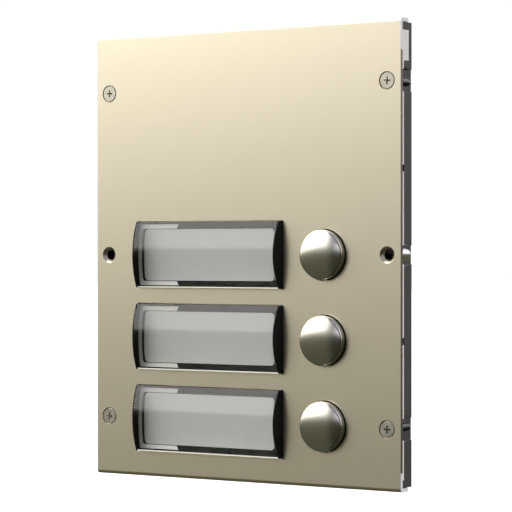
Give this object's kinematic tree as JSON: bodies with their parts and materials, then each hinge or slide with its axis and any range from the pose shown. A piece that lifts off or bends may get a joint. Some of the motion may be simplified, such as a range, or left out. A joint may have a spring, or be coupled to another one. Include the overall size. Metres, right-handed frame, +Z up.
{
  "type": "door intercom panel",
  "caption": "Flat metal door-station panel with lit name windows beside round sprung bell buttons, on a plastic housing with the circuit board and terminals.",
  "frame": {"origin": "midway between the two fixing holes, on the front plate's rear face", "axes": "+X to the right, +Y into the wall, +Z up; the panel faces -Y"},
  "size_m": [0.099, 0.0296, 0.124],
  "materials": {
    "stainless_plate": "fine satin stainless steel",
    "satin_nickel": "satin nickel plating on turned metal",
    "bright_nickel": "bright nickel plating",
    "zinc_screw": "stainless countersunk screws",
    "spring_steel": "drawn spring steel",
    "clear_lens": "clear polycarbonate, polished",
    "black_gloss": "black plastic, slightly glossy",
    "card_paper": "plain grey-white card",
    "white_plastic": "white moulded plastic",
    "diffuser_white": "milky translucent plastic",
    "dark_grey_plastic": "dark grey moulded plastic",
    "black_plastic": "black moulded plastic",
    "seal_rubber": "black silicone rubber",
    "board_green": "solder-masked glass epoxy",
    "led_body": "white LED package",
    "terminal_green": "green terminal plastic",
    "pin_brass": "gilt brass pins"
  },
  "bodies": {
    "panel": {"front_plate": "stainless_plate", "corner_screws": "zinc_screw", "fixing_bushes": "bright_nickel", "carrier_plate": "white_plastic", "housing_frame": "dark_grey_plastic", "rear_box": "dark_grey_plastic", "rear_cover": "dark_grey_plastic", "cover_screws": "zinc_screw", "circuit_board": "board_green", "board_screws": "zinc_screw", "backlight_leds": "led_body", "controller_chip": "black_plastic", "terminal_block": "terminal_green", "terminal_screws": "zinc_screw", "link_header": "black_plastic", "header_pins": "pin_brass", "window_frame_1": "black_gloss", "window_frame_2": "black_gloss", "window_frame_3": "black_gloss", "window_lens_1": "clear_lens", "window_lens_2": "clear_lens", "window_lens_3": "clear_lens", "name_card_1": "card_paper", "name_card_2": "card_paper", "name_card_3": "card_paper", "card_clip_1": "white_plastic", "card_clip_2": "white_plastic", "card_clip_3": "white_plastic", "light_diffuser_1": "diffuser_white", "light_diffuser_2": "diffuser_white", "light_diffuser_3": "diffuser_white", "button_seal_1": "seal_rubber", "button_seal_2": "seal_rubber", "button_seal_3": "seal_rubber", "button_guide_1": "black_plastic", "button_guide_2": "black_plastic", "button_guide_3": "black_plastic", "button_spring_1": "spring_steel", "button_spring_2": "spring_steel", "button_spring_3": "spring_steel", "switch_body_1": "black_plastic", "switch_body_2": "black_plastic", "switch_body_3": "black_plastic"},
    "button_1": {"button_cap_1": "satin_nickel", "button_stem_1": "black_plastic", "button_clip_1": "spring_steel"},
    "switch_1": {"switch_plunger_1": "black_plastic"},
    "button_2": {"button_cap_2": "satin_nickel", "button_stem_2": "black_plastic", "button_clip_2": "spring_steel"},
    "switch_2": {"switch_plunger_2": "black_plastic"},
    "button_3": {"button_cap_3": "satin_nickel", "button_stem_3": "black_plastic", "button_clip_3": "spring_steel"},
    "switch_3": {"switch_plunger_3": "black_plastic"}
  },
  "joints": [
    {"name": "button_1_press", "type": "slide", "parent": "panel", "child": "button_1", "axis": [0, 1, 0], "range_m": [0, 0.001], "stiffness_N_per_m": 800, "springref_m": -0.001, "deforming": ["button_spring_1"]},
    {"name": "button_2_press", "type": "slide", "parent": "panel", "child": "button_2", "axis": [0, 1, 0], "range_m": [0, 0.001], "stiffness_N_per_m": 800, "springref_m": -0.001, "deforming": ["button_spring_2"]},
    {"name": "button_3_press", "type": "slide", "parent": "panel", "child": "button_3", "axis": [0, 1, 0], "range_m": [0, 0.001], "stiffness_N_per_m": 800, "springref_m": -0.001, "deforming": ["button_spring_3"]},
    {"name": "switch_1_press", "type": "slide", "parent": "panel", "child": "switch_1", "axis": [0, 1, 0], "range_m": [0, 0.001]},
    {"name": "switch_2_press", "type": "slide", "parent": "panel", "child": "switch_2", "axis": [0, 1, 0], "range_m": [0, 0.001]},
    {"name": "switch_3_press", "type": "slide", "parent": "panel", "child": "switch_3", "axis": [0, 1, 0], "range_m": [0, 0.001]}
  ],
  "couplings": [
    {"joint": "switch_1_press", "follows": "button_1_press", "ratio": 1},
    {"joint": "switch_2_press", "follows": "button_2_press", "ratio": 1},
    {"joint": "switch_3_press", "follows": "button_3_press", "ratio": 1}
  ]
}
